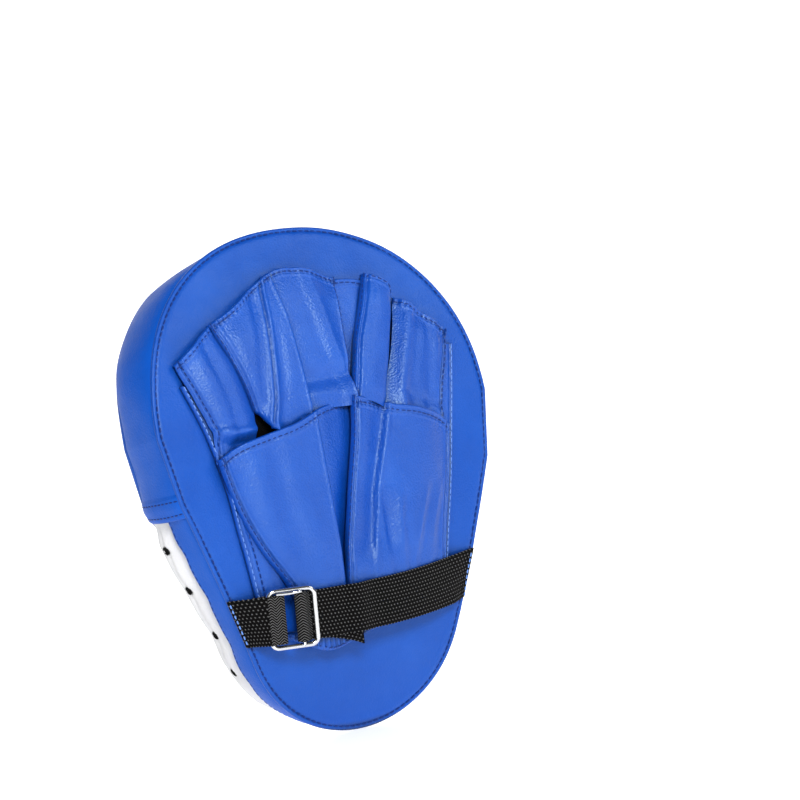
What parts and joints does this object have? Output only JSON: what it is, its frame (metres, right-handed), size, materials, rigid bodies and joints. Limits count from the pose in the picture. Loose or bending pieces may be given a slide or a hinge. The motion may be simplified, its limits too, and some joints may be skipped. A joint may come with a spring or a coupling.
{
  "type": "focus mitt",
  "caption": "Curved hand-held punching pad with finger stalls, hand cover, webbing wrist strap with wire buckle, and a round target on the striking face.",
  "frame": {"origin": "under the middle of the mitt's box, level with the lowest edge of its wrist end", "axes": "+Z from the wrist end to the fingertip end, +Y out of the striking face, +X to the right when the glove side is seen"},
  "size_m": [0.1906, 0.0642, 0.2466],
  "materials": {
    "blue_leather": "smooth semi-gloss coated leather",
    "blue_leather_soft": "soft semi-gloss coated leather with creases",
    "blue_leather_deep": "gathered coated leather",
    "black_leather": "fine-grained matt coated leather",
    "white_leather": "smooth coated leather",
    "black_cloth": "thin lining cloth",
    "black_webbing": "coarse woven webbing",
    "soft_foam": "open-cell foam",
    "core_foam": "closed-cell foam",
    "impact_foam": "dense closed-cell foam",
    "chrome": "bright plated wire"
  },
  "bodies": {
    "pad": {"back_panel": "blue_leather", "back_foam": "soft_foam", "core_foam": "core_foam", "impact_foam": "impact_foam", "upper_side_wall": "blue_leather", "lower_side_strip": "blue_leather", "vented_side_strip": "white_leather", "strike_face": "black_leather", "front_binding": "blue_leather", "target_ring": "white_leather", "target_disc": "white_leather", "palm_lining": "black_cloth", "hand_cover_left": "blue_leather_soft", "hand_cover_right": "blue_leather_soft", "cover_hem": "blue_leather_deep", "thumb_stall": "blue_leather_soft", "index_stall": "blue_leather_soft", "middle_stall": "blue_leather_soft", "ring_stall": "blue_leather_soft", "little_stall": "blue_leather_soft", "strap_anchor": "black_webbing", "wrist_strap": "black_webbing", "strap_tail": "black_webbing"},
    "buckle": {"buckle_frame": "chrome", "buckle_bar": "chrome", "strap_turn": "black_webbing"}
  },
  "joints": [
    {"name": "buckle_pivot", "type": "hinge", "parent": "pad", "child": "buckle", "pos_m": [-0.0535, -0.02281, 0.05949], "axis": [0, 0.1355, -0.9908], "range_deg": [0, 40]}
  ]
}
